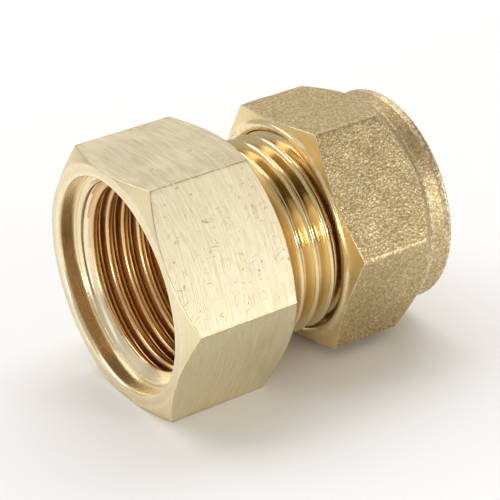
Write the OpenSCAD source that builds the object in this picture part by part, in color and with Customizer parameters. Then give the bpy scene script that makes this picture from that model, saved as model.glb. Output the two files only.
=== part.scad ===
// Straight compression coupling: a hexagon body with a female pipe thread at one end and a
// male spigot at the other, a compression nut on the spigot, and a brass olive inside the nut.
// Millimetres. +X runs along the axis from the female mouth to the tube end, +Z is up.
// The origin is on the axis, at the shoulder that the tube stops against.

/* [Body] */
// Size across the body's spanner flats
body_flats = 25; // [24.5:0.5:27]
// Length of the body's hexagon
hex_length = 13; // [12:0.5:15]
// Length of the male spigot past the hexagon
spigot_length = 12.3; // [12:0.1:13]
// Radius of the smooth counterbore in the female mouth
mouth_radius = 11.2; // [11:0.1:11.4]
// Depth of the smooth counterbore in the female mouth
mouth_depth = 1.9; // [1.5:0.1:2.2]
// Radius of the waterway between the two ends
waterway_radius = 6.5; // [5.5:0.1:6.8]

/* [Compression nut] */
// Size across the nut's spanner flats
nut_flats = 23.6; // [23.4:0.2:25]
// Length of the nut's hexagon
nut_hex_length = 10.65; // [10.45:0.05:12]
// Length of the round collar behind the nut's hexagon
collar_length = 2.7; // [2:0.05:4]
// Radius of the round collar
collar_radius = 11.35; // [10.8:0.05:11.6]
// Length of spigot thread taken up by the finger-tight nut
nut_engaged = 5.55; // [5:0.05:6]
// Turn of the nut's flats against the body's flats
nut_phase = -3.7; // [-30:0.1:30]

/* [Olive] */
// Length of the olive
olive_length = 6.6; // [6:0.1:6.8]
// Largest radius of the olive
olive_radius = 8.9; // [8.8:0.05:9.1]
// Radius of the olive's hole
olive_bore = 7.56; // [7.52:0.01:7.6]

/* [Threads] */
// Facets in one turn of a thread
thread_steps = 48; // [36:12:60]

/* [Hidden] */
$fn = 96;
eps = 0.01;
overlap = 1;

// 1/2 inch parallel pipe thread: 14 turns to the inch, 55 degree flanks
pitch = 25.4 / 14;
flank = tan(27.5);
pitch_radius = 9.8965;
major_radius = 10.4775;
minor_radius = 9.58;
crest_radius = 10.4;
root_radius = 9.25;
flank_gap = 0.03;
runout_turns = 0.5;
runout_sink = 1.3;
cutter_sink = 0.13;
ridge_sink = 0.25;
ridge_over = 0.08;

// the body, by distance from the female face
corner_radius = body_flats / 2 / cos(30);
face_radius = body_flats / 2;
chamfer_angle = 30;
chamfer_length = (corner_radius - face_radius) * tan(chamfer_angle);
step_radius = 10.65;
socket_wall = 1.5;
socket_depth = hex_length - socket_wall;
stop_offset = 0.5;
stop_at = hex_length + stop_offset;
socket_radius = 7.6;
spigot_end = hex_length + spigot_length;
seat_slope = tan(30);
seat_mouth = 8.95;
seat_start = spigot_end - (seat_mouth - socket_radius) / seat_slope;
relief_length = 1;
relief_radius = 9.1;
thread_chamfer = 1.1;
thread_foot = 0.15;
last_turn = 0.55;

// the nut, by distance from the female face
nut_front = spigot_end - nut_engaged;
nut_edge = 0.8;
nut_cone = tan(18.5);
nut_mouth = 10.75;
nut_corner = nut_flats / 2 / cos(30) - nut_edge / cos(30) + nut_edge;
nut_back = nut_front + nut_hex_length;
nut_end = nut_back + collar_length;
collar_root = 0.5;
collar_round = 0.6;
nut_relief_radius = 10.6;
nut_relief_length = 1.2;
nut_relief_lead = 0.2;
nut_seat_land = 0.35;
tube_hole_radius = 7.65;
tube_hole_flare = 0.35;

// the olive and its seats
seat_gap = 0.04;
olive_edge = 0.06;
olive_land = 0.25;
olive_break = 0.1;
olive_end_radius = 7.95;
olive_front = seat_start + (olive_end_radius + seat_gap / cos(30) - socket_radius) / seat_slope;
olive_back = olive_front + olive_length;
olive_cone = (olive_radius - olive_end_radius) / seat_slope;
nut_seat_end = olive_back + (olive_end_radius + seat_gap / cos(30) - tube_hole_radius) / seat_slope;
nut_seat_radius = 9.1;
nut_seat_start = nut_seat_end - (nut_seat_radius - tube_hole_radius) / seat_slope;
nut_relief_end = nut_seat_start - nut_seat_land;

// half the width, along the axis, of a thread's ridge or groove at a radius
function half_ridge(r) = pitch / 4 - (r - pitch_radius) * flank;
function ridge_profile(low, high) = [
    [low, -half_ridge(low) + flank_gap],
    [high, -half_ridge(high) + flank_gap],
    [high, half_ridge(high) - flank_gap],
    [low, half_ridge(low) - flank_gap]
];
function groove_profile(low, high, gap) = [
    [low, -half_ridge(low) - gap],
    [high, -half_ridge(high) - gap],
    [high, half_ridge(high) + gap],
    [low, half_ridge(low) + gap]
];
function ring(profile, turn, sink) = [
    for (p = profile) [(p[0] - sink) * cos(360 * turn), (p[0] - sink) * sin(360 * turn), p[1] + pitch * turn]
];

// a profile swept up a right-hand helix, rising one pitch a turn; it sinks inward at its far end
module helix(profile, turns, fade) {
    n = len(profile);
    m = ceil(turns * thread_steps);
    last = m / thread_steps;
    points = [
        for (i = [0 : m])
            let (turn = i / thread_steps, left = last - turn)
                each ring(profile, turn, fade > 0 ? runout_sink * max(0, 1 - left / fade) : 0)
    ];
    sides = [
        for (i = [0 : m - 1], j = [0 : n - 1])
            each [
                [i * n + j, i * n + (j + 1) % n, (i + 1) * n + j],
                [i * n + (j + 1) % n, (i + 1) * n + (j + 1) % n, (i + 1) * n + j]
            ]
    ];
    caps = [[for (j = [n - 1 : -1 : 0]) j], [for (j = [0 : n - 1]) m * n + j]];
    polyhedron(points = points, faces = concat(sides, caps), convexity = 10);
}

// a revolved shape from [radius, distance] points
module turned(points) {
    rotate_extrude()
        polygon(points);
}

// along +X, with distances from the female face
module on_axis() {
    rotate([0, 90, 0])
        translate([0, 0, -stop_at])
            children();
}

// the body's hexagon, chamfered at both ends
module body_hexagon() {
    intersection() {
        rotate([0, 0, 30])
            cylinder(r = corner_radius, h = hex_length, $fn = 6);
        turned([
            [0, 0],
            [face_radius, 0],
            [corner_radius + eps, chamfer_length + eps * seat_slope],
            [corner_radius + eps, hex_length - chamfer_length - eps * seat_slope],
            [face_radius, hex_length],
            [0, hex_length]
        ]);
    }
}

// the spigot's plain core, from inside the hexagon to the mouth
module spigot_core() {
    turned([
        [0, hex_length - overlap],
        [relief_radius, hex_length - overlap],
        [relief_radius, hex_length + relief_length],
        [root_radius, hex_length + relief_length + root_radius - relief_radius],
        [root_radius, spigot_end],
        [0, spigot_end]
    ]);
}

// the male thread, trimmed to its crest and chamfered at both ends
module spigot_thread() {
    start = hex_length + relief_length;
    low = root_radius - thread_foot;
    turns = (spigot_end - start) / pitch + 2;
    intersection() {
        translate([0, 0, start - pitch])
            helix(ridge_profile(root_radius - ridge_sink, crest_radius + ridge_over), turns, 0);
        turned([
            [low, start],
            [root_radius, start + root_radius - low],
            [crest_radius, start + thread_chamfer],
            [crest_radius, spigot_end - thread_chamfer],
            [root_radius, spigot_end - eps],
            [low, spigot_end - eps]
        ]);
    }
}

// everything bored out of the body, from the female mouth to the olive's seat
module body_bore() {
    turned([
        [0, -overlap],
        [mouth_radius, -overlap],
        [mouth_radius, mouth_depth],
        [step_radius, mouth_depth],
        [minor_radius, mouth_depth + step_radius - minor_radius],
        [minor_radius, socket_depth],
        [waterway_radius, socket_depth],
        [waterway_radius, stop_at],
        [socket_radius, stop_at],
        [socket_radius, seat_start],
        [seat_mouth + seat_slope * overlap, spigot_end + overlap],
        [0, spigot_end + overlap]
    ]);
}

module female_thread() {
    translate([0, 0, mouth_depth - pitch])
        helix(
            groove_profile(minor_radius - cutter_sink, major_radius, 0),
            (socket_depth - mouth_depth) / pitch + last_turn,
            runout_turns
        );
}

module body() {
    color([0.86, 0.74, 0.45])
        on_axis()
            difference() {
                union() {
                    body_hexagon();
                    spigot_core();
                    spigot_thread();
                }
                body_bore();
                female_thread();
            }
}

// outline of the nut's hexagon, each corner rounded by short flats
module nut_outline() {
    centre = (nut_flats / 2 - nut_edge) / cos(30);
    polygon([
        for (k = [0 : 5], j = [-3 : 3])
            let (corner = 60 * k + 30, a = corner + 10 * j)
                [centre * cos(corner) + nut_edge * cos(a), centre * sin(corner) + nut_edge * sin(a)]
    ]);
}

// the nut's outside: a coned front, flats, a 45 degree shoulder and a round collar
module nut_outside() {
    union() {
        intersection() {
            translate([0, 0, nut_front])
                rotate([0, 0, nut_phase])
                    linear_extrude(height = nut_hex_length + overlap)
                        nut_outline();
            turned([
                [0, nut_front],
                [nut_mouth, nut_front],
                [nut_corner + eps, nut_front + (nut_corner - nut_mouth) * nut_cone],
                [nut_corner + eps, nut_back - (nut_corner - collar_radius) - eps],
                [collar_radius - eps, nut_back + eps],
                [0, nut_back + eps]
            ]);
        }
        turned(concat(
            [
                [0, nut_front + overlap],
                [nut_mouth, nut_front + overlap],
                [nut_mouth, nut_back - collar_root],
                [collar_radius, nut_back - collar_root]
            ],
            [
                for (a = [0 : 15 : 90])
                    [collar_radius - collar_round * (1 - cos(a)), nut_end - collar_round * (1 - sin(a))]
            ],
            [[0, nut_end]]
        ));
    }
}

// everything bored out of the nut: thread bore, relief, olive seat and tube hole
module nut_bore() {
    turned([
        [0, nut_front - overlap],
        [nut_mouth + eps, nut_front - overlap],
        [nut_mouth + eps, nut_front],
        [minor_radius, nut_front + nut_mouth + eps - minor_radius],
        [minor_radius, nut_relief_end - nut_relief_length],
        [nut_relief_radius, nut_relief_end - nut_relief_length],
        [nut_relief_radius, nut_relief_end],
        [minor_radius, nut_relief_end + nut_relief_lead],
        [nut_seat_radius, nut_seat_start],
        [tube_hole_radius, nut_seat_end],
        [tube_hole_radius, nut_end - tube_hole_flare],
        [tube_hole_radius + tube_hole_flare, nut_end],
        [tube_hole_radius + tube_hole_flare, nut_end + overlap],
        [0, nut_end + overlap]
    ]);
}

// the nut's groove follows the same helix as the spigot's ridge
module nut_thread() {
    start = hex_length + relief_length;
    first = floor((nut_front - start) / pitch) - 1;
    length = nut_relief_end - nut_relief_length / 2 - start - first * pitch;
    translate([0, 0, start + first * pitch])
        helix(groove_profile(minor_radius - cutter_sink, major_radius, flank_gap), length / pitch, 0);
}

module compression_nut() {
    color([0.78, 0.64, 0.36])
        on_axis()
            difference() {
                nut_outside();
                nut_bore();
                nut_thread();
            }
}

module olive() {
    color([0.88, 0.72, 0.40])
        on_axis()
            turned([
                [olive_bore + olive_break, olive_front],
                [olive_end_radius, olive_front],
                [olive_radius - olive_edge, olive_front + olive_cone - olive_edge / seat_slope],
                [olive_radius, olive_front + olive_cone + olive_land],
                [olive_radius, olive_back - olive_cone - olive_land],
                [olive_radius - olive_edge, olive_back - olive_cone + olive_edge / seat_slope],
                [olive_end_radius, olive_back],
                [olive_bore + olive_break, olive_back],
                [olive_bore, olive_back - olive_break],
                [olive_bore, olive_front + olive_break]
            ]);
}

body();
compression_nut();
olive();
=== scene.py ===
import math
from functools import partial

import bmesh
import bpy
from mathutils import Matrix, Quaternion, Vector

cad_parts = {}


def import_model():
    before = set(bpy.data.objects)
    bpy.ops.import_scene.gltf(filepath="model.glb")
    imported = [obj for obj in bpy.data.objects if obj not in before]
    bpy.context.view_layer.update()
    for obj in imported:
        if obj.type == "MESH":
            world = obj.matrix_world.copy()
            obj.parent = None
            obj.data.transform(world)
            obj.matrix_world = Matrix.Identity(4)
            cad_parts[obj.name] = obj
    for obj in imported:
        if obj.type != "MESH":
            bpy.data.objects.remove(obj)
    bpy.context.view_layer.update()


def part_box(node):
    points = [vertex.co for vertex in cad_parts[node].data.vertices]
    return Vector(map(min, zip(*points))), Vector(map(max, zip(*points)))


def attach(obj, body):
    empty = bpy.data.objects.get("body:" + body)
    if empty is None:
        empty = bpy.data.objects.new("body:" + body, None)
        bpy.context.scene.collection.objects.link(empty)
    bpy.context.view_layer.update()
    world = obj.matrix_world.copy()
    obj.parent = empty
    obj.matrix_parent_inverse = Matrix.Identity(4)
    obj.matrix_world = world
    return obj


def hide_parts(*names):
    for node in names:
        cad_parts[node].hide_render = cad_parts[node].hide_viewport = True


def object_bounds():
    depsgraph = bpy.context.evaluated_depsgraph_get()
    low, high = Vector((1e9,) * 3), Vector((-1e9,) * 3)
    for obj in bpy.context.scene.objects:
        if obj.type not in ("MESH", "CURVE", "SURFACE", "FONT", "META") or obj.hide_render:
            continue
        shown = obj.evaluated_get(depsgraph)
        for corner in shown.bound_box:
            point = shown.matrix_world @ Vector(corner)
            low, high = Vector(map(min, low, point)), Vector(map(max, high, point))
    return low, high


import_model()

mm = 0.001
tau = math.tau
slope30 = math.tan(math.radians(30))
mergeDistance = 0.002 * mm

# What both threads share: half inch parallel pipe thread, 14 turns to the inch. Lengths are in millimetres.
thread = {
    "pitch": 25.4 / 14,
    "flankAngle": 27.5,
    "pitchRadius": 9.8965,
    "boreRadius": 9.58,  # the flat crests of a thread cut in a hole
    "boreGroove": 10.45,  # the bottom of its groove
    "boreRounding": (0.5, 0.3),
    "boreLead": 1.0,  # slope of the opened mouth
    "spigotRoot": 9.25,
    "spigotCrest": 10.4,
    "spigotRounding": (0.2, 0.36),
    "play": 0.03,  # room between the nut's flanks and the spigot's
    "phase": 14.0,  # how far along the spigot's ridge and the nut's groove cross the bottom
    "columns": 160,
    "rowsPerTurn": 18,
}
flankRun = 1 / math.tan(math.radians(thread["flankAngle"]))
flankPlay = thread["play"] * flankRun

scene = bpy.context.scene
bodyLow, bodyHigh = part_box("body")
nutLow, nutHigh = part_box("compression_nut")
oliveLow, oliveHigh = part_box("olive")
faceX = bodyLow.x / mm
tubeStop = -faceX


def place(radius, angle, along):
    # millimetres round the axis and along it from the mouth's face, turned into a point in metres
    return Vector((along + faceX, radius * math.sin(angle), -radius * math.cos(angle))) * mm


def alongAndReach(face):
    # where a face's middle lies: along the axis and out from it, in millimetres
    middle = sum((corner.co for corner in face.verts), Vector()) / len(face.verts)
    return middle.x / mm - faceX, math.hypot(middle.y, middle.z) / mm


def evenAngles(count):
    return [tau * k / count for k in range(count)]


def hexagonColumns(halfFlats, cornerRound, turn, perFlat, perCorner):
    # (angle, radius) pairs round a hexagon with rounded corners
    centre = (halfFlats - cornerRound) / math.cos(math.radians(30))
    lateral = (halfFlats - cornerRound) * slope30
    found = []
    for side in range(6):
        flat = math.radians(60 * side)
        for k in range(perFlat):
            across = lateral * (2 * k / perFlat - 1)
            found.append((flat + math.atan2(across, halfFlats), math.hypot(across, halfFlats)))
        corner = math.radians(60 * side + 30)
        for k in range(perCorner):
            bend = math.radians(60 * k / perCorner - 30)
            x = centre + cornerRound * math.cos(bend)
            y = cornerRound * math.sin(bend)
            found.append((corner + math.atan2(y, x), math.hypot(x, y)))
    return sorted(((angle + math.radians(turn)) % tau, radius) for angle, radius in found)


def roundedProfile(points, steps):
    # softens each inner corner of a (radius, along, rounding) profile with a short curve
    result = []
    for k, (radius, along, soft) in enumerate(points):
        here = Vector((radius, along))
        if k == 0 or k == len(points) - 1 or soft <= 0:
            result.append(here)
            continue
        before = Vector(points[k - 1][:2]) - here
        after = Vector(points[k + 1][:2]) - here
        start = here + before.normalized() * min(soft, before.length * 0.45)
        end = here + after.normalized() * min(soft, after.length * 0.45)
        for step in range(steps + 1):
            t = step / steps
            result.append(start * (1 - t) ** 2 + here * 2 * t * (1 - t) + end * t * t)
    return [(point.x, point.y) for point in result]


def addRing(mesh, angles, radii, alongs):
    return [mesh.verts.new(place(*column)) for column in zip(radii, angles, alongs)]


def joinRings(mesh, first, second, slot):
    count = len(first)
    for k in range(count):
        after = (k + 1) % count
        face = mesh.faces.new((first[k], first[after], second[after], second[k]))
        face.material_index = slot


def joinAll(mesh, rings, slot):
    for first, second in zip(rings, rings[1:]):
        joinRings(mesh, first, second, slot)


def turnedSkin(mesh, angles, profile, slot):
    # a revolved skin through a list of (radius, along) points; gives back its first and last ring
    count = len(angles)
    rings = [addRing(mesh, angles, [radius] * count, [along] * count) for radius, along in profile]
    joinAll(mesh, rings, slot)
    return rings[0], rings[-1]


def zipRings(mesh, outerAngles, outer, innerAngles, inner, slot):
    # fills the flat ring between two closed rings with different numbers of points
    n = len(outer)
    m = len(inner)
    i = 0
    j = 0
    while i < n or j < m:
        nextOuter = outerAngles[(i + 1) % n] + tau * ((i + 1) // n)
        nextInner = innerAngles[(j + 1) % m] + tau * ((j + 1) // m)
        if i < n and (j == m or nextOuter <= nextInner):
            corners = (outer[i % n], outer[(i + 1) % n], inner[j % m])
            i += 1
        else:
            corners = (outer[i % n], inner[(j + 1) % m], inner[j % m])
            j += 1
        mesh.faces.new(corners).material_index = slot


def softMin(a, b, width):
    overlap = max(width - abs(a - b), 0) / width
    return min(a, b) - overlap * overlap * width / 4


def softMax(a, b, width):
    return -softMin(-a, -b, width)


def finishMesh(name, mesh, skins, materials):
    # joins the mesh and its thread skins into one closed object, and marks its sharp edges for wear
    fullWear = math.radians(9)  # the bend at which an edge is fully rubbed
    for skin, slotOf in skins:
        before = len(mesh.faces)
        mesh.from_mesh(skin)
        mesh.faces.ensure_lookup_table()
        for face in mesh.faces[before:]:
            face.material_index = slotOf(face)
    bmesh.ops.remove_doubles(mesh, verts=mesh.verts, dist=mergeDistance)
    bmesh.ops.dissolve_degenerate(mesh, edges=mesh.edges, dist=mergeDistance / 2)
    bmesh.ops.recalc_face_normals(mesh, faces=mesh.faces)
    for face in mesh.faces:
        face.smooth = True
    worn = mesh.verts.layers.float.new("edgeWear")
    for corner in mesh.verts:
        bend = max(edge.calc_face_angle(0.0) for edge in corner.link_edges)
        corner[worn] = min(bend / fullWear, 1.0)
    openEdges = sum(1 for edge in mesh.edges if not edge.is_manifold)
    data = bpy.data.meshes.new(name)
    mesh.to_mesh(data)
    mesh.free()
    for material in materials:
        data.materials.append(material)
    piece = bpy.data.objects.new(name, data)
    scene.collection.objects.link(piece)
    weighted = piece.modifiers.new("faceNormals", "WEIGHTED_NORMAL")
    weighted.mode = "FACE_AREA"
    weighted.keep_sharp = False
    triangles = sum(len(polygon.vertices) - 2 for polygon in data.polygons)
    print(name, "triangles", triangles, "edges not closed", openEdges)
    return piece


def feed(tree, value, socket):
    # a plain number sets the socket, and another node's socket is linked to it
    if isinstance(value, (int, float)):
        socket.default_value = value
    else:
        tree.links.new(value, socket)


def mathNode(tree, operation, *values):
    node = tree.nodes.new("ShaderNodeMath")
    node.operation = operation
    for value, socket in zip(values, node.inputs):
        feed(tree, value, socket)
    return node.outputs[0]


def vectorNode(tree, x, y, z):
    node = tree.nodes.new("ShaderNodeCombineXYZ")
    for value, socket in zip((x, y, z), node.inputs):
        feed(tree, value, socket)
    return node.outputs[0]


def threadTree():
    # wraps a helical thread form round the axis between two circles
    tree = bpy.data.node_groups.new("threadSkin", "GeometryNodeTree")
    newSocket = tree.interface.new_socket
    for label in ("Columns", "Rows"):
        newSocket(name=label, in_out="INPUT", socket_type="NodeSocketInt")
    for label in ("Turns", "Start", "End", "Pitch", "Phase", "Pitch Radius", "Inner Radius", "Outer Radius",
                  "Flank Shift", "Flank Run", "Inner Rounding", "Outer Rounding", "Start Radius",
                  "Start Slope", "Start Opens", "End Radius", "End Slope", "Offset"):
        newSocket(name=label, in_out="INPUT", socket_type="NodeSocketFloat")
    newSocket(name="Material", in_out="INPUT", socket_type="NodeSocketMaterial")
    newSocket(name="Geometry", in_out="OUTPUT", socket_type="NodeSocketGeometry")
    nodes, links = tree.nodes, tree.links
    given = nodes.new("NodeGroupInput").outputs
    calc = partial(mathNode, tree)

    grid = nodes.new("GeometryNodeMeshGrid")
    grid.inputs["Size X"].default_value = 1.0
    grid.inputs["Size Y"].default_value = 1.0
    links.new(calc("ADD", given["Columns"], 1), grid.inputs["Vertices X"])
    links.new(given["Rows"], grid.inputs["Vertices Y"])
    spot = nodes.new("ShaderNodeSeparateXYZ")
    links.new(nodes.new("GeometryNodeInputPosition").outputs[0], spot.inputs[0])
    around = calc("ADD", spot.outputs[0], 0.5)
    rise = calc("ADD", spot.outputs[1], 0.5)

    # how far along the axis, following the helix and stopping at both ends
    turned = calc("ADD", calc("MULTIPLY", rise, given["Turns"]), calc("SUBTRACT", around, 1))
    climbed = calc("ADD", calc("MULTIPLY", turned, given["Pitch"]), given["Start"])
    along = calc("MINIMUM", calc("MAXIMUM", climbed, given["Start"]), given["End"])

    # distance from the ridge's middle, then the flank line and its two flats
    turns = calc("DIVIDE", calc("SUBTRACT", along, given["Phase"]), given["Pitch"])
    wrapped = calc("FRACT", calc("ADD", calc("SUBTRACT", turns, around), 0.5))
    away = calc("MULTIPLY", calc("ABSOLUTE", calc("SUBTRACT", wrapped, 0.5)), given["Pitch"])
    toPitchLine = calc("SUBTRACT", calc("MULTIPLY", given["Pitch"], 0.25), away)
    flank = calc("MULTIPLY", toPitchLine, given["Flank Run"])
    line = calc("ADD", calc("ADD", given["Pitch Radius"], given["Flank Shift"]), flank)
    radius = calc("SMOOTH_MAX", line, given["Inner Radius"], given["Inner Rounding"])
    radius = calc("SMOOTH_MIN", radius, given["Outer Radius"], given["Outer Rounding"])

    # the cones at both ends
    slant = calc("MULTIPLY", calc("SUBTRACT", along, given["Start"]), given["Start Slope"])
    closing = calc("MINIMUM", radius, calc("ADD", given["Start Radius"], slant))
    opening = calc("MAXIMUM", radius, calc("SUBTRACT", given["Start Radius"], slant))
    opened = calc("MULTIPLY", given["Start Opens"], calc("SUBTRACT", opening, closing))
    radius = calc("ADD", closing, opened)
    slant = calc("MULTIPLY", calc("SUBTRACT", given["End"], along), given["End Slope"])
    radius = calc("MINIMUM", radius, calc("ADD", given["End Radius"], slant))

    angle = calc("MULTIPLY", around, tau)
    reach = calc("MULTIPLY", radius, mm)
    x = calc("MULTIPLY", calc("ADD", along, given["Offset"]), mm)
    y = calc("MULTIPLY", reach, calc("SINE", angle))
    z = calc("MULTIPLY", reach, calc("MULTIPLY", calc("COSINE", angle), -1.0))
    moved = nodes.new("GeometryNodeSetPosition")
    links.new(grid.outputs["Mesh"], moved.inputs["Geometry"])
    links.new(vectorNode(tree, x, y, z), moved.inputs["Position"])
    merged = nodes.new("GeometryNodeMergeByDistance")
    merged.inputs["Distance"].default_value = mergeDistance
    links.new(moved.outputs[0], merged.inputs["Geometry"])
    real = nodes.new("GeometryNodeRealizeInstances")
    links.new(merged.outputs[0], real.inputs[0])
    painted = nodes.new("GeometryNodeSetMaterial")
    links.new(real.outputs[0], painted.inputs["Geometry"])
    links.new(given["Material"], painted.inputs["Material"])
    links.new(painted.outputs[0], nodes.new("NodeGroupOutput").inputs[0])
    return tree


threadSkinTree = threadTree()


def threadSkin(name, material, start, end, sizes):
    # runs the thread nodes once and gives back the plain mesh
    # a whole number of rows to the turn, so both sides of the seam meet
    rows = math.ceil(((end - start) / thread["pitch"] + 1) * thread["rowsPerTurn"])
    holder = bpy.data.objects.new(name, bpy.data.meshes.new(name))
    scene.collection.objects.link(holder)
    modifier = holder.modifiers.new("threadSkin", "NODES")
    modifier.node_group = threadSkinTree
    values = {
        "Columns": thread["columns"],
        "Rows": rows + 1,
        "Turns": rows / thread["rowsPerTurn"],
        "Start": start,
        "End": end,
        "Pitch": thread["pitch"],
        "Pitch Radius": thread["pitchRadius"],
        "Flank Run": flankRun,
        "Offset": faceX,
        "Material": material,
        **sizes,
    }
    for item in threadSkinTree.interface.items_tree:
        if item.in_out == "INPUT":
            value = values[item.name]
            modifier[item.identifier] = float(value) if item.socket_type == "NodeSocketFloat" else value
    bpy.context.view_layer.update()
    shape = bpy.data.meshes.new_from_object(holder.evaluated_get(bpy.context.evaluated_depsgraph_get()))
    holder.modifiers.clear()
    bpy.data.objects.remove(holder)
    shape.materials.clear()
    return shape


def boreSizes(phase, shift, mouthRadius, endSlope):
    # what a thread cut in a hole gives the thread nodes
    return {
        "Phase": phase,
        "Flank Shift": shift,
        "Inner Radius": thread["boreRadius"],
        "Outer Radius": thread["boreGroove"],
        "Inner Rounding": thread["boreRounding"][0],
        "Outer Rounding": thread["boreRounding"][1],
        "Start Radius": mouthRadius,
        "Start Slope": thread["boreLead"],
        "Start Opens": 1.0,
        "End Radius": thread["boreRadius"],
        "End Slope": endSlope,
    }


def shaderGroup(name, inputs, outputs):
    tree = bpy.data.node_groups.new(name, "ShaderNodeTree")
    for label in inputs:
        tree.interface.new_socket(name=label, in_out="INPUT", socket_type="NodeSocketFloat")
    for label in outputs:
        tree.interface.new_socket(name=label, in_out="OUTPUT", socket_type="NodeSocketFloat")
    given = tree.nodes.new("NodeGroupInput").outputs
    out = tree.nodes.new("NodeGroupOutput").inputs
    return tree, given, out


def noiseNode(tree, where, scale, detail, rough):
    node = tree.nodes.new("ShaderNodeTexNoise")
    tree.links.new(where, node.inputs["Vector"])
    for label, value in (("Scale", scale), ("Detail", detail), ("Roughness", rough)):
        feed(tree, value, node.inputs[label])
    return node.outputs[0]


def rampNode(tree, value, low, high):
    # 0 below low, 1 above high, and a soft step between
    node = tree.nodes.new("ShaderNodeMapRange")
    node.interpolation_type = "SMOOTHSTEP"
    for label, amount in (("Value", value), ("From Min", low), ("From Max", high)):
        feed(tree, amount, node.inputs[label])
    return node.outputs[0]


def objectPoint(tree):
    # the shaded point in the part's own frame, in millimetres
    scaled = tree.nodes.new("ShaderNodeVectorMath")
    scaled.operation = "SCALE"
    tree.links.new(tree.nodes.new("ShaderNodeTexCoord").outputs["Object"], scaled.inputs[0])
    scaled.inputs["Scale"].default_value = 1 / mm
    return scaled.outputs[0]


def pointParts(tree, point):
    parts = tree.nodes.new("ShaderNodeSeparateXYZ")
    tree.links.new(point, parts.inputs[0])
    return parts.outputs[:3]


def axisRadius(tree, y, z):
    calc = partial(mathNode, tree)
    return calc("SQRT", calc("ADD", calc("MULTIPLY", y, y), calc("MULTIPLY", z, z)))


def cutterLinesGroup():
    # fine parallel lines left by a cutter, across the axis on flats and as rings on turned faces
    tree, given, out = shaderGroup(
        "cutterLines", ("Lines Per Mm", "Length Mm", "Depth"), ("Height", "Streak"))
    calc = partial(mathNode, tree)
    x, y, z = pointParts(tree, objectPoint(tree))
    across = calc("ADD", x, calc("MULTIPLY", axisRadius(tree, y, z), 0.37))
    reach = calc("DIVIDE", 1.0, given["Length Mm"])
    lane = vectorNode(tree, calc("MULTIPLY", across, given["Lines Per Mm"]),
                      calc("MULTIPLY", y, reach), calc("MULTIPLY", z, reach))
    fine = noiseNode(tree, lane, 1.0, 3.0, 0.6)
    broad = noiseNode(tree, lane, 0.23, 2.0, 0.5)
    height = calc("ADD", calc("MULTIPLY", fine, 0.8), calc("MULTIPLY", broad, 0.5))
    streak = calc("ADD", calc("MULTIPLY", fine, 0.75), calc("MULTIPLY", broad, 0.25))
    tree.links.new(calc("MULTIPLY", height, given["Depth"]), out["Height"])
    tree.links.new(rampNode(tree, streak, 0.38, 0.62), out["Streak"])
    return tree


def handlingMarksGroup():
    # short nicks, and hair scratches in three directions
    directions = ((0.8, 0.35, 0.2), (-0.5, 0.9, 0.6), (0.15, -0.6, 1.0))
    tree, given, out = shaderGroup("handlingMarks", ("Amount", "Depth"), ("Height", "Mark"))
    calc = partial(mathNode, tree)
    point = objectPoint(tree)
    x, y, z = pointParts(tree, point)

    def mixed(first, second, third):
        rest = calc("ADD", calc("MULTIPLY", y, second), calc("MULTIPLY", z, third))
        return calc("ADD", calc("MULTIPLY", x, first), rest)

    threshold = calc("SUBTRACT", 0.78, calc("MULTIPLY", given["Amount"], 0.25))
    nick = rampNode(tree, noiseNode(tree, point, 2.3, 1.0, 0.5), 0.74, 0.8)
    total = calc("MULTIPLY", nick, given["Amount"])
    for k, (turnX, turnY, turnZ) in enumerate(directions):
        width = calc("MULTIPLY", mixed(turnX, turnY, turnZ), 3.6)
        length = calc("MULTIPLY", mixed(-turnZ, turnX, turnY), 0.22)
        lane = vectorNode(tree, width, length, 7.3 * k)
        strand = calc("ABSOLUTE", calc("SUBTRACT", noiseNode(tree, lane, 1.0, 0.0, 0.5), 0.5))
        line = calc("SUBTRACT", 1.0, rampNode(tree, strand, 0.0, 0.012))
        shifted = vectorNode(tree, calc("ADD", x, 11.0 * k), y, z)
        patch = rampNode(tree, noiseNode(tree, shifted, 0.9, 1.0, 0.5), threshold, 0.8)
        total = calc("MAXIMUM", total, calc("MULTIPLY", line, patch))
    tree.links.new(total, out["Mark"])
    tree.links.new(calc("MULTIPLY", total, calc("MULTIPLY", given["Depth"], -1.0)), out["Height"])
    return tree


def blastedGrainGroup():
    # the coarse skin of a grit-blasted stamping: packed facets with fine pits between, and painted shade in
    # the pits
    tree, given, out = shaderGroup("blastedGrain", ("Grain Mm", "Depth"), ("Height", "Glint", "Pit"))
    calc = partial(mathNode, tree)
    point = objectPoint(tree)
    density = calc("DIVIDE", 1.0, given["Grain Mm"])
    cells = tree.nodes.new("ShaderNodeTexVoronoi")
    cells.feature = "SMOOTH_F1"
    cells.inputs["Smoothness"].default_value = 0.35
    tree.links.new(point, cells.inputs["Vector"])
    tree.links.new(density, cells.inputs["Scale"])
    tone = tree.nodes.new("ShaderNodeTexVoronoi")
    tree.links.new(point, tone.inputs["Vector"])
    tree.links.new(calc("MULTIPLY", density, 1.35), tone.inputs["Scale"])
    shade = tree.nodes.new("ShaderNodeSeparateColor")
    tree.links.new(tone.outputs["Color"], shade.inputs[0])
    rough = noiseNode(tree, point, calc("MULTIPLY", density, 1.2), 3.0, 0.62)
    bumps = calc("MULTIPLY", calc("SUBTRACT", 1.0, cells.outputs["Distance"]), 0.75)
    height = calc("ADD", bumps, calc("MULTIPLY", rough, 1.1))
    between = calc("SUBTRACT", cells.outputs["Distance"], calc("MULTIPLY", rough, 0.3))
    tree.links.new(calc("MULTIPLY", height, given["Depth"]), out["Height"])
    # painted glints: the lightest cells of a second cell pattern
    tree.links.new(rampNode(tree, shade.outputs[0], 0.72, 1.0), out["Glint"])
    # painted shade: the low ground between the facets is darker
    tree.links.new(rampNode(tree, between, 0.12, 0.6), out["Pit"])
    return tree


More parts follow.
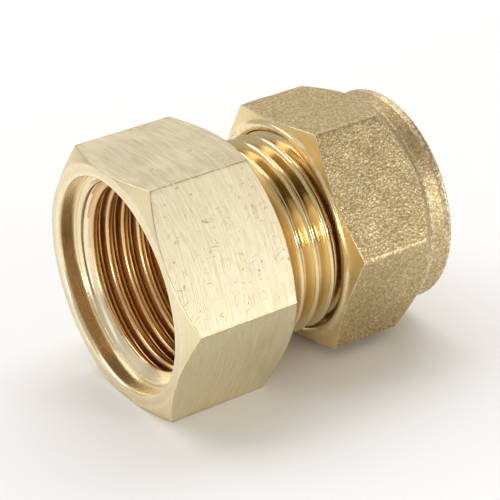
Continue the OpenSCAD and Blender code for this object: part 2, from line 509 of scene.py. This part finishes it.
def patchSpeckShadeGroup():
    # slow changes of tone, small specks, and a mask for the depth of a thread's grooves, which puts painted
    # shade in the grooves
    tree, given, out = shaderGroup(
        "patchesSpecksAndShade", ("Patch Mm", "Full Shade Radius", "No Shade Radius"), ("Patch", "Groove Shade", "Speck"))
    calc = partial(mathNode, tree)
    point = objectPoint(tree)
    _, y, z = pointParts(tree, point)
    size = calc("DIVIDE", 1.0, given["Patch Mm"])
    bright = rampNode(tree, axisRadius(tree, y, z), given["Full Shade Radius"], given["No Shade Radius"])
    specks = noiseNode(tree, point, calc("MULTIPLY", size, 9.0), 4.0, 0.65)
    tree.links.new(rampNode(tree, noiseNode(tree, point, size, 3.0, 0.55), 0.38, 0.64), out["Patch"])
    tree.links.new(calc("SUBTRACT", 1.0, bright), out["Groove Shade"])
    tree.links.new(rampNode(tree, specks, 0.62, 0.74), out["Speck"])
    return tree


def edgeWearGroup():
    # rubbed edges, broken up so that the wear is uneven
    tree, given, out = shaderGroup("edgeWear", ("Amount", "Break Mm"), ("Worn",))
    calc = partial(mathNode, tree)
    edge = tree.nodes.new("ShaderNodeAttribute")
    edge.attribute_name = "edgeWear"
    size = calc("DIVIDE", 1.0, given["Break Mm"])
    broken = rampNode(tree, noiseNode(tree, objectPoint(tree), size, 3.0, 0.6), 0.3, 0.6)
    rubbed = rampNode(tree, edge.outputs["Fac"], 0.25, 0.9)
    tree.links.new(calc("MULTIPLY", rubbed, calc("MULTIPLY", broken, given["Amount"])), out["Worn"])
    return tree


cutterLines = cutterLinesGroup()
handlingMarks = handlingMarksGroup()
blastedGrain = blastedGrainGroup()
patchesSpecksAndShade = patchSpeckShadeGroup()
edgeWear = edgeWearGroup()
print("node groups built")


def brass(name, look):
    # a brass finish from one dictionary: colours, roughness and the strength of each kind of mark
    material = bpy.data.materials.new(name)
    material.use_nodes = True
    tree = material.node_tree
    nodes, links = tree.nodes, tree.links
    nodes.clear()
    shader = nodes.new("ShaderNodeBsdfPrincipled")
    links.new(shader.outputs[0], nodes.new("ShaderNodeOutputMaterial").inputs[0])
    shader.inputs["Metallic"].default_value = 1.0
    calc = partial(mathNode, tree)

    def group(source, values):
        # each input takes the value that the look keeps under the given name
        node = nodes.new("ShaderNodeGroup")
        node.node_tree = source
        for label, key in values.items():
            node.inputs[label].default_value = look[key]
        return node.outputs

    def blend(mask, strength, first, second):
        node = nodes.new("ShaderNodeMix")
        node.data_type = "RGBA"
        links.new(calc("MULTIPLY", mask, strength), node.inputs[0])
        for value, socket in ((first, node.inputs[6]), (second, node.inputs[7])):
            if isinstance(value, tuple):
                socket.default_value = (*value, 1.0)
            else:
                links.new(value, socket)
        return node.outputs[2]

    lines = group(cutterLines, {
        "Lines Per Mm": "linesPerMm", "Length Mm": "lineLength", "Depth": "lineDepth"})
    marks = group(handlingMarks, {"Amount": "marks", "Depth": "markDepth"})
    toneAndShadeMasks = group(patchesSpecksAndShade, {
        "Patch Mm": "patchSize", "Full Shade Radius": "grooveShadeFullRadius", "No Shade Radius": "grooveShadeFreeRadius"})
    worn = group(edgeWear, {"Amount": "edgeTint", "Break Mm": "edgeBreak"})
    tone = blend(toneAndShadeMasks["Patch"], look["patchTint"], look["colour"], look["patchColour"])
    tone = blend(lines["Streak"], look["lineTint"], tone, look["lineColour"])
    # painted shade: a thread's grooves darken towards their bottom
    tone = blend(toneAndShadeMasks["Groove Shade"], look["grooveShadeTint"], tone, look["grooveShadeAndSpeckColour"])
    tone = blend(toneAndShadeMasks["Speck"], look["speckTint"], tone, look["grooveShadeAndSpeckColour"])
    tone = blend(marks["Mark"], look["markTint"], tone, look["markColour"])
    tone = blend(worn["Worn"], 1.0, tone, look["edgeColour"])
    height = calc("ADD", lines["Height"], marks["Height"])
    rough = calc("ADD", calc("MULTIPLY", lines["Streak"], look["roughSpread"]), look["roughness"])
    rough = calc("ADD", rough, calc("MULTIPLY", toneAndShadeMasks["Patch"], look["roughSpread"]))
    rough = calc("SUBTRACT", rough, calc("MULTIPLY", worn["Worn"], look["edgePolish"]))
    if look["grain"] > 0:
        grain = group(blastedGrain, {"Grain Mm": "grainSize", "Depth": "grain"})
        height = calc("ADD", height, grain["Height"])
        # painted shade in the pits of the grain
        tone = blend(grain["Pit"], look["pitShadeTint"], tone, look["pitShadeColour"])
        # painted glints: the lightest facets get a pale colour, besides a lower roughness
        tone = blend(grain["Glint"], look["glintTint"], tone, look["glintColour"])
        rough = calc("SUBTRACT", rough, calc("MULTIPLY", grain["Glint"], look["glintPolish"]))
    links.new(tone, shader.inputs["Base Color"])
    links.new(rough, shader.inputs["Roughness"])
    bump = nodes.new("ShaderNodeBump")
    bump.inputs["Strength"].default_value = 1.0
    bump.inputs["Distance"].default_value = look["bumpMm"] * mm
    links.new(height, bump.inputs["Height"])
    links.new(bump.outputs[0], shader.inputs["Normal"])
    return material


# the finish that every surface starts from
plainBrass = {
    "colour": (0.88, 0.74, 0.46),
    "patchColour": (0.80, 0.62, 0.34),
    "patchTint": 0.35,
    "patchSize": 4.0,
    "lineColour": (0.96, 0.88, 0.66),
    "lineTint": 0.3,
    "linesPerMm": 9.0,
    "lineLength": 9.0,
    "lineDepth": 1.0,
    # painted shade for a thread's grooves; the same colour also tints the small specks
    "grooveShadeAndSpeckColour": (0.42, 0.22, 0.07),
    "grooveShadeTint": 0.0,
    "grooveShadeFullRadius": 2.0,
    "grooveShadeFreeRadius": 5.0,
    "speckTint": 0.2,
    "marks": 0.5,
    "markDepth": 0.8,
    "markColour": (0.97, 0.90, 0.72),
    "markTint": 0.6,
    "edgeColour": (0.98, 0.90, 0.66),
    "edgeTint": 0.6,
    "edgeBreak": 0.6,
    "edgePolish": 0.06,
    "roughness": 0.2,
    "roughSpread": 0.06,
    "grain": 0.0,
    "bumpMm": 0.004,
}

bodyLook = {
    # on the flats the sharp edges are tinted dark gold, not rubbed bright
    "flats": dict(plainBrass, colour=(0.76, 0.65, 0.42), patchColour=(0.83, 0.74, 0.52), patchTint=0.2,
                  roughness=0.31, bumpMm=0.035, linesPerMm=8.0, lineLength=2.6, lineColour=(0.90, 0.84, 0.65),
                  lineTint=0.6, marks=0.8, markColour=(0.50, 0.39, 0.20), markTint=0.7, markDepth=1.8,
                  edgeColour=(0.62, 0.46, 0.20), edgeTint=0.8),
    "turned": dict(plainBrass, colour=(0.87, 0.74, 0.47), linesPerMm=12.0, lineLength=30.0, marks=0.25,
                   bumpMm=0.01, roughness=0.30),
    # the grooves of the spigot's thread get painted shade
    "thread": dict(plainBrass, colour=(0.86, 0.68, 0.36), linesPerMm=6.0, lineLength=40.0, marks=0.15,
                   bumpMm=0.003, roughness=0.1, grooveShadeAndSpeckColour=(0.50, 0.29, 0.10), grooveShadeTint=0.5,
                   grooveShadeFullRadius=9.2, grooveShadeFreeRadius=10.1, edgeTint=0.15),
    # painted shade inside the hole: the bore and the thread in the mouth are darker, more orange copies of
    # the brass, and the mouth's thread also darkens towards its groove bottoms
    "bore": dict(plainBrass, colour=(0.76, 0.48, 0.20), linesPerMm=8.0, lineLength=40.0, marks=0.1,
                 bumpMm=0.003, roughness=0.24),
    "mouthThread": dict(plainBrass, colour=(0.80, 0.49, 0.20), linesPerMm=6.0, lineLength=40.0, marks=0.1,
                        bumpMm=0.003, roughness=0.17, grooveShadeAndSpeckColour=(0.48, 0.22, 0.07), grooveShadeTint=0.75,
                        grooveShadeFullRadius=10.4, grooveShadeFreeRadius=9.7, edgeTint=0.05),
    # painted light: the counterbore is a lighter copy of the brass
    "counterbore": dict(plainBrass, colour=(0.94, 0.82, 0.58), linesPerMm=7.0, lineLength=40.0, marks=0.1,
                        bumpMm=0.008, roughness=0.2),
    "hexLength": 13.0,
    "edgeRound": 0.12,
    "chamferSoft": 0.1,
    "chamferMargin": 0.04,
    "mouthRadius": 11.2,
    "mouthDepth": 1.9,
    "mouthRound": 0.6,
    "mouthLand": 0.02,
    "leadRadius": 10.65,  # where the opened mouth of the female thread begins
    "leadLength": 0.9,
    "threadEnd": 11.5,
    "waterwayRadius": 6.5,
    "socketRadius": 7.6,
    "socketEnd": 22.962,
    "seatRadius": 8.95,
    "rimRadius": 9.2,
    "rimDrop": 0.06,
    "spigotEnd": 25.3,
    "neckRadius": 9.1,
    "neckFoot": 9.6,
    "neckLength": 1.0,
    "neckSlope": 1.2,
    "tipSlope": 1.08,
}


def hexagonBody():
    look = bodyLook
    finishNames = ("flats", "turned", "thread", "bore", "mouthThread", "counterbore")
    flatsSlot, turnedSlot, threadSlot, paintedShadeBoreSlot, paintedShadeMouthSlot, paintedLightCounterboreSlot = range(6)
    halfFlats = bodyHigh.z / mm
    length = look["hexLength"]
    columns = hexagonColumns(halfFlats, look["edgeRound"], 0.0, 24, 6)
    angles = [angle for angle, _ in columns]
    radii = [radius for _, radius in columns]
    starts = [(radius - halfFlats) * slope30 for radius in radii]

    def outline(alongs):
        # the hexagon, cut by the 30 degree chamfer at each end
        chamfers = [halfFlats + min(along, length - along) / slope30 for along in alongs]
        return [softMin(radius, cone, look["chamferSoft"]) for radius, cone in zip(radii, chamfers)]

    # rows from one end to mid-length: a share of the chamfer's own length, plus millimetres,
    # and never behind the row before
    steps = [(0.25, 0.02), (0.5, 0.04), (0.75, 0.05), (1, -0.06), (1, -0.03), (1, 0), (1, 0.03),
             (1, 0.06), (1, 0.12), (1, 0.4), (1, 1.2), (1, 2.6)]
    rows = [[0.0] * len(starts)]
    for share, extra in steps:
        rows.append([max(share * start + extra, before) for start, before in zip(starts, rows[-1])])
    rows += [[length - along for along in row] for row in reversed(rows)]
    mesh = bmesh.new()
    rings = [addRing(mesh, angles, outline(row), row) for row in rows]
    joinAll(mesh, rings, flatsSlot)
    for face in mesh.faces:
        along, reach = alongAndReach(face)
        if halfFlats + min(along, length - along) / slope30 < reach + look["chamferMargin"]:
            face.material_index = turnedSlot

    circle = evenAngles(thread["columns"])
    mouth = look["mouthRadius"]
    step = look["mouthDepth"]
    entry = roundedProfile([
        (mouth + look["mouthRound"] + look["mouthLand"], 0, 0),
        (mouth, 0, look["mouthRound"]),
        (mouth, step, 0.15),
        (look["leadRadius"], step, 0)], 6)
    # the mouth's rounded edge, wall and step get the counterbore's lighter finish: painted light
    front, _ = turnedSkin(mesh, circle, entry, paintedLightCounterboreSlot)
    zipRings(mesh, angles, rings[0], circle, front, turnedSlot)
    neckEnd = length + look["neckLength"]
    neck = roundedProfile([
        (look["neckFoot"], length, 0),
        (look["neckRadius"], length, 0.2),
        (look["neckRadius"], neckEnd, 0)], 4)
    back, _ = turnedSkin(mesh, circle, neck, turnedSlot)
    zipRings(mesh, angles, rings[-1], circle, back, turnedSlot)
    end = look["spigotEnd"]
    tip = end - look["rimDrop"]
    inside = roundedProfile([
        (thread["boreRadius"], look["threadEnd"], 0),
        (look["waterwayRadius"], look["threadEnd"], 0.12),
        (look["waterwayRadius"], tubeStop, 0.12),
        (look["socketRadius"], tubeStop, 0.06),
        (look["socketRadius"], look["socketEnd"], 0.15),
        (look["seatRadius"], end, 0.06),
        (look["rimRadius"], end, 0.05),
        (thread["spigotRoot"], tip, 0)], 4)
    # the inside of the body gets the bore's darker copy of the brass: painted shade
    turnedSkin(mesh, circle, inside, paintedShadeBoreSlot)

    finishes = [brass("body" + part[0].upper() + part[1:], look[part]) for part in finishNames]
    male = threadSkin("spigotThread", finishes[threadSlot], neckEnd, tip, {
        "Phase": thread["phase"],
        "Flank Shift": -flankPlay,
        "Inner Radius": thread["spigotRoot"],
        "Outer Radius": thread["spigotCrest"],
        "Inner Rounding": thread["spigotRounding"][0],
        "Outer Rounding": thread["spigotRounding"][1],
        "Start Radius": look["neckRadius"],
        "Start Slope": look["neckSlope"],
        "Start Opens": 0.0,
        "End Radius": thread["spigotRoot"],
        "End Slope": look["tipSlope"],
    })
    # the thread in the mouth gets its darker copy of the brass: painted shade
    female = threadSkin("mouthThread", finishes[paintedShadeMouthSlot], step, look["threadEnd"],
                        boreSizes(step, 0.0, look["leadRadius"], 1.0))
    leadEnd = (step + look["leadLength"] + faceX) * mm

    def mouthFinish(face):
        # the lead-in takes the counterbore's lighter finish, painted light, so it is as bright as the
        # counterbore in front of it
        return paintedLightCounterboreSlot if face.calc_center_median().x < leadEnd else paintedShadeMouthSlot

    return finishMesh("hexagonBody", mesh, [(male, lambda face: threadSlot), (female, mouthFinish)], finishes)


body = hexagonBody()
print("body built")

nutLook = {
    # the pits of the grain get painted shade
    "blasted": dict(plainBrass, colour=(0.64, 0.51, 0.28), patchColour=(0.56, 0.43, 0.22), patchSize=2.5,
                    lineTint=0.0, lineDepth=0.0, marks=0.15, markTint=0.3, roughness=0.42, roughSpread=0.04,
                    grain=1.0, grainSize=0.27, bumpMm=0.036, pitShadeColour=(0.40, 0.28, 0.12), pitShadeTint=0.75,
                    # painted glints on the lightest facets
                    glintColour=(0.96, 0.84, 0.56), glintTint=0.55, glintPolish=0.08),
    "turned": dict(plainBrass, colour=(0.88, 0.66, 0.31), linesPerMm=10.0, lineLength=30.0, marks=0.2,
                   roughness=0.26, bumpMm=0.004),
    # the grooves of the nut's thread get painted shade
    "thread": dict(plainBrass, colour=(0.86, 0.64, 0.31), linesPerMm=6.0, lineLength=40.0, marks=0.1,
                   bumpMm=0.002, roughness=0.16, grooveShadeTint=0.5, grooveShadeFullRadius=10.4, grooveShadeFreeRadius=9.7,
                   edgeTint=0.1),
    "halfFlats": 11.8,
    "edgeRound": 0.55,
    "turn": -3.7,
    "frontRadius": 10.75,
    "frontLand": 0.08,
    "lipDepth": 0.1,
    "coneAngle": 18.5,
    "coneSoft": 0.08,
    "coneMargin": 0.05,
    "collarRadius": 11.35,
    "collarLength": 2.7,
    "collarSoft": 0.3,
    "rimRound": 0.6,
    "rimWidth": 0.9,
    "softness": 0.12,
    "unevenness": 0.035,
    "reliefRadius": 10.6,
    "reliefLength": 1.2,
    "reliefLead": 0.2,
    "seatLand": 0.35,
    "seatRadius": 9.1,
    "seatGap": 0.04,
    "oliveEndRadius": 7.95,
    "tubeHole": 7.65,
    "holeChamfer": 0.35,
    "holeLand": 0.3,
}


def compressionNut():
    look = nutLook
    blastedSlot, turnedSlot, threadSlot = range(3)
    front = nutLow.x / mm - faceX
    end = nutHigh.x / mm - faceX
    back = end - look["collarLength"]
    collar = look["collarRadius"]
    mouth = look["frontRadius"]
    coneRun = math.tan(math.radians(look["coneAngle"]))
    columns = hexagonColumns(look["halfFlats"], look["edgeRound"], look["turn"], 24, 12)
    angles = [angle for angle, _ in columns]
    radii = [radius for _, radius in columns]

    def radiusAt(angle, radius, along):
        # the pressed flats are slightly uneven
        wave = math.sin(angle * 11 + along * 0.9) + math.sin(angle * 17 - along * 1.7)
        pressed = radius - look["unevenness"] * (1 + 0.5 * wave)
        cone = mouth + (along - front) / coneRun
        hexagon = softMin(softMin(pressed, collar + back - along, look["softness"]), cone, look["coneSoft"])
        return softMax(collar - 0.02, hexagon, look["collarSoft"])

    starts = [front + (radius - mouth) * coneRun for radius in radii]  # where each flat begins
    ends = [back - (radius - collar) for radius in radii]  # and where it ends
    edge = 0.12
    fall = 0.3
    rows = [[front + share * (start - front) for start in starts] for share in (0.12, 0.3, 0.5, 0.7, 0.86)]
    rows += [[start + extra for start in starts] for extra in (-0.05, -0.02, 0.01, 0.05, edge)]
    flatRows = 12
    for row in range(1, flatRows):
        rows.append([start + edge + (last - fall - start - edge) * row / flatRows
                     for start, last in zip(starts, ends)])
    rows += [[last + extra for last in ends] for extra in (-fall, -0.18, -0.06, 0.06, 0.18, fall)]
    for share in (0.4, 0.6, 0.8):
        rows.append([last + fall + (back - last - 0.5) * share for last in ends])
    rows += [[back + extra] * len(angles) for extra in (-0.2, -0.1, 0.0, 0.1, 0.25, 0.6, 1.1, 1.6, 2.1)]
    mesh = bmesh.new()
    rings = []
    for row in rows:
        outline = [radiusAt(*column) for column in zip(angles, radii, row)]
        rings.append(addRing(mesh, angles, outline, row))
    joinAll(mesh, rings, blastedSlot)
    for face in mesh.faces:
        along, reach = alongAndReach(face)
        if mouth + (along - front) / coneRun < reach + look["coneMargin"]:
            face.material_index = turnedSlot
    rim = roundedProfile([
        (collar, end - look["rimRound"], 0),
        (collar, end, look["rimRound"]),
        (collar - look["rimWidth"], end, 0)], 6)
    rimFirst, rimLast = turnedSkin(mesh, angles, rim, blastedSlot)
    joinRings(mesh, rings[-1], rimFirst, blastedSlot)

    circle = evenAngles(thread["columns"])
    hole = look["tubeHole"]
    seatGap = look["seatGap"] / math.cos(math.radians(30))
    seatEnd = oliveHigh.x / mm - faceX + (look["oliveEndRadius"] + seatGap - hole) / slope30
    seatStart = seatEnd - (look["seatRadius"] - hole) / slope30
    reliefEnd = seatStart - look["seatLand"]
    threadEnd = reliefEnd - look["reliefLength"]
    inside = roundedProfile([
        (thread["boreRadius"], threadEnd, 0),
        (look["reliefRadius"], threadEnd, 0.1),
        (look["reliefRadius"], reliefEnd, 0.1),
        (thread["boreRadius"], reliefEnd + look["reliefLead"], 0.08),
        (look["seatRadius"], seatStart, 0.08),
        (hole, seatEnd, 0.1),
        (hole, end - look["holeChamfer"], 0.1),
        (hole + look["holeChamfer"], end, 0.1),
        (hole + look["holeChamfer"] + look["holeLand"], end, 0)], 4)
    _, holeRing = turnedSkin(mesh, circle, inside, turnedSlot)
    zipRings(mesh, angles, rimLast, circle, holeRing, turnedSlot)
    lipRadius = mouth - look["frontLand"]
    lipEnd = front + look["lipDepth"]
    lip, _ = turnedSkin(mesh, circle, [(mouth - 0.03, front + 0.02), (lipRadius, lipEnd)], turnedSlot)
    zipRings(mesh, angles, rings[0], circle, lip, turnedSlot)

    finishes = [brass("nut" + part.title(), look[part]) for part in ("blasted", "turned", "thread")]
    female = threadSkin("nutThread", finishes[threadSlot], lipEnd, threadEnd,
                        boreSizes(thread["phase"], flankPlay, lipRadius, 2.0))
    return finishMesh("compressionNut", mesh, [(female, lambda face: threadSlot)], finishes)


nut = compressionNut()
print("nut built")

oliveLook = {
    "finish": dict(plainBrass, colour=(0.90, 0.74, 0.44), linesPerMm=12.0, lineLength=30.0, marks=0.3,
                   roughness=0.2, bumpMm=0.003),
    "bore": 7.56,
    "endRadius": nutLook["oliveEndRadius"],
    "edgeRound": 0.1,
    "crownLand": 0.1,
    "crownRound": 0.5,
    "columns": 128,
}


def olive():
    look = oliveLook
    first = oliveLow.x / mm - faceX
    last = oliveHigh.x / mm - faceX
    widest = oliveHigh.y / mm
    cone = (widest - look["endRadius"]) / slope30
    soft = look["edgeRound"]
    bore = look["bore"]
    middle = (first + last) / 2
    profile = roundedProfile([
        (bore, middle, 0),
        (bore, first, soft),
        (look["endRadius"], first, soft),
        (widest, first + cone + look["crownLand"], look["crownRound"]),
        (widest, last - cone - look["crownLand"], look["crownRound"]),
        (look["endRadius"], last, soft),
        (bore, last, soft),
        (bore, middle, 0)], 5)
    mesh = bmesh.new()
    turnedSkin(mesh, evenAngles(look["columns"]), profile, 0)
    return finishMesh("oliveRing", mesh, [], [brass("oliveFinish", look["finish"])])


ring = olive()
print("olive built")

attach(body, "body")
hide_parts("body")
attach(nut, "nut")
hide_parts("compression_nut")
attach(ring, "olive")
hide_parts("olive")

studio = {
    "azimuth": -31.44,
    "elevation": 26.32,
    "roll": 4.21,
    "distance": 0.2002,
    "lens": 141.36,
    "aim": (-0.65, 0.0, -1.15),
    "floorColour": (0.96, 0.96, 0.955),
    "floorReach": 3.0,
    "floorDrop": 0.00002,
    "worldColour": (0.83, 0.79, 0.72),
    "worldStrength": 0.6,
    # name, direction, distance, width, height, glow, colour
    "lights": [
        ("keyPanel", (0.48, -0.80, 0.33), 0.55, 0.38, 0.30, 0.56, (0.96, 0.99, 1.06)),
        ("sparkPanel", (0.49, -0.86, 0.18), 0.5, 0.05, 0.09, 26.0, (1.0, 1.0, 1.0)),
        ("mouthPanel", (-0.89, -0.45, 0.06), 0.6, 0.10, 0.10, 14.0, (1.0, 0.99, 0.97)),
        ("leftPanel", (-0.90, 0.37, 0.26), 0.6, 0.36, 0.26, 0.5, (1.0, 1.0, 1.0)),
        ("backPanel", (0.47, 0.76, 0.44), 0.7, 0.5, 0.3, 0.1, (0.97, 0.99, 1.03)),
        ("overhead", (0.1, 0.42, 0.9), 0.9, 1.7, 0.8, 1.75, (0.97, 1.0, 1.05)),
    ],
    # name, direction, distance, width, height, colour
    "cards": [
        ("darkCard", (0.46, -0.30, 0.84), 0.45, 0.42, 0.20, (0.05, 0.025, 0.012)),
        ("tanCard", (0.46, 0.12, 0.88), 0.5, 0.55, 0.30, (0.42, 0.29, 0.15)),
    ],
}

low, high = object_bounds()
centre = (low + high) / 2


def addSheet(name, width, depth, colour, roughness):
    # a flat rectangle round the origin with a plain material of its own
    x, y = width / 2, depth / 2
    data = bpy.data.meshes.new(name)
    data.from_pydata([(-x, -y, 0), (x, -y, 0), (x, y, 0), (-x, y, 0)], [], [(0, 1, 2, 3)])
    sheet = bpy.data.objects.new(name, data)
    scene.collection.objects.link(sheet)
    material = bpy.data.materials.new(name)
    material.use_nodes = True
    shader = material.node_tree.nodes["Principled BSDF"]
    shader.inputs["Base Color"].default_value = (*colour, 1.0)
    shader.inputs["Roughness"].default_value = roughness
    data.materials.append(material)
    return sheet, material.node_tree, shader


def backdrop():
    reach = 2 * studio["floorReach"]
    floor, tree, shader = addSheet("floor", reach, reach, studio["floorColour"], 0.9)
    floor.data.transform(Matrix.Translation((0, 0, low.z - studio["floorDrop"])))
    mottle = tree.nodes.new("ShaderNodeTexNoise")
    mottle.inputs["Scale"].default_value = 120.0
    tree.links.new(tree.nodes.new("ShaderNodeTexCoord").outputs["Object"], mottle.inputs["Vector"])
    mix = tree.nodes.new("ShaderNodeMix")
    mix.data_type = "RGBA"
    tree.links.new(mottle.outputs[0], mix.inputs[0])
    mix.inputs[6].default_value = (*studio["floorColour"], 1.0)
    mix.inputs[7].default_value = (*[part * 0.99 for part in studio["floorColour"]], 1.0)
    tree.links.new(mix.outputs[2], shader.inputs["Base Color"])


def softbox(name, direction, distance, width, height, glow, colour):
    # a soft rectangle of light facing the object, hidden from the camera itself
    data = bpy.data.lights.new(name, "AREA")
    data.shape = "RECTANGLE"
    data.size, data.size_y = width, height
    data.energy = glow * math.pi * width * height
    data.color = colour
    lamp = bpy.data.objects.new(name, data)
    way = Vector(direction).normalized()
    lamp.location = centre + way * distance
    lamp.rotation_mode = "QUATERNION"
    lamp.rotation_quaternion = (-way).to_track_quat("-Z", "Y")
    lamp.visible_camera = False
    scene.collection.objects.link(lamp)


def reflectionCard(name, direction, distance, width, height, colour):
    # a card that shows only in reflections and puts a brown band on polished curves
    card, _, _ = addSheet(name, width, height, colour, 1.0)
    way = Vector(direction).normalized()
    card.data.transform((-way).to_track_quat("-Z", "Y").to_matrix().to_4x4())
    card.data.transform(Matrix.Translation(centre + way * distance))
    card.visible_camera = card.visible_shadow = card.visible_diffuse = False


def camera():
    data = bpy.data.cameras.new("camera")
    data.lens = studio["lens"]
    data.sensor_width = 36.0
    data.clip_start, data.clip_end = 0.01, 20.0
    azimuth = math.radians(studio["azimuth"])
    elevation = math.radians(studio["elevation"])
    level = math.cos(elevation)
    away = Vector((math.sin(azimuth) * level, -math.cos(azimuth) * level, math.sin(elevation)))
    roll = Quaternion((0, 0, 1), math.radians(-studio["roll"]))
    seat = bpy.data.objects.new("camera", data)
    seat.location = centre + Vector(studio["aim"]) * mm + away * studio["distance"]
    seat.rotation_mode = "QUATERNION"
    seat.rotation_quaternion = (-away).to_track_quat("-Z", "Y") @ roll
    scene.collection.objects.link(seat)
    scene.camera = seat


def world():
    sky = bpy.data.worlds.new("studio")
    scene.world = sky
    sky.use_nodes = True
    shade = sky.node_tree.nodes["Background"]
    shade.inputs[0].default_value = (*studio["worldColour"], 1.0)
    shade.inputs[1].default_value = studio["worldStrength"]


backdrop()
world()
for light in studio["lights"]:
    softbox(*light)
for card in studio["cards"]:
    reflectionCard(*card)
camera()
scene.view_settings.view_transform = "Standard"
print("studio built")
